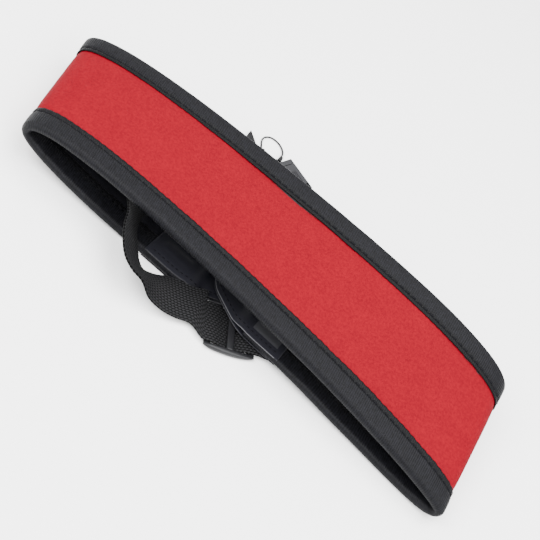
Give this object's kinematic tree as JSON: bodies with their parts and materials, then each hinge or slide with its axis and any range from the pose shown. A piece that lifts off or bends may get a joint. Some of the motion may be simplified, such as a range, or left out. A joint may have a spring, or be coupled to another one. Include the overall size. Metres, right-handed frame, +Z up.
{
  "type": "padded neoprene carrying strap",
  "caption": "Padded neoprene neck strap closed into a flattened loop, with bound edges, sewn end tabs, webbing, a tri-glide and a small release buckle on a cord loop.",
  "frame": {"origin": "flat underside of the left tab's outer leaf, on the resting surface, below the middle of the overlapped ends", "axes": "+X along the flattened loop's length, +Y across the band's width, +Z up from the resting surface"},
  "size_m": [0.2629, 0.1399, 0.0386],
  "materials": {
    "red_jersey": "matt knitted jersey",
    "black_lining": "matt knitted jersey",
    "foam": "closed-cell foam",
    "black_binding": "ribbed tape with a soft sheen",
    "tab_leather": "smooth coated fabric, satin",
    "thread": "matt",
    "webbing": "woven, matt",
    "cord": "braided, matt",
    "glide_plastic": "satin gloss",
    "buckle_plastic": "satin"
  },
  "bodies": {
    "strap": {"pad_foam": "foam", "face_jersey": "red_jersey", "lining_jersey": "black_lining", "front_binding": "black_binding", "rear_binding": "black_binding", "left_tab_outer": "tab_leather", "left_tab_inner": "tab_leather", "right_tab_outer": "tab_leather", "right_tab_inner": "tab_leather", "left_tab_stitching": "thread", "right_tab_stitching": "thread", "turned_webbing": "webbing", "threaded_webbing": "webbing", "front_webbing": "webbing", "rear_webbing": "webbing", "webbing_hem": "webbing", "buckle_plug": "buckle_plastic", "cord_keeper": "webbing", "cord_sleeve": "buckle_plastic", "cord_loop": "cord"},
    "tri_glide": {"tri_glide": "glide_plastic"},
    "socket": {"buckle_socket": "buckle_plastic", "link_tape": "webbing"},
    "button": {"release_button": "buckle_plastic"}
  },
  "joints": [
    {"name": "glide_slide", "type": "slide", "parent": "strap", "child": "tri_glide", "axis": [0.866, 0.5, 0], "range_m": [-0.005, 0.003], "deforming": ["threaded_webbing"]},
    {"name": "buckle_pull", "type": "slide", "parent": "strap", "child": "socket", "axis": [0.9511, -0.309, 0], "range_m": [0, 0.014]},
    {"name": "button_press", "type": "slide", "parent": "socket", "child": "button", "axis": [0, 0, -1], "range_m": [0, 0.0006], "stiffness_N_per_m": 200}
  ]
}
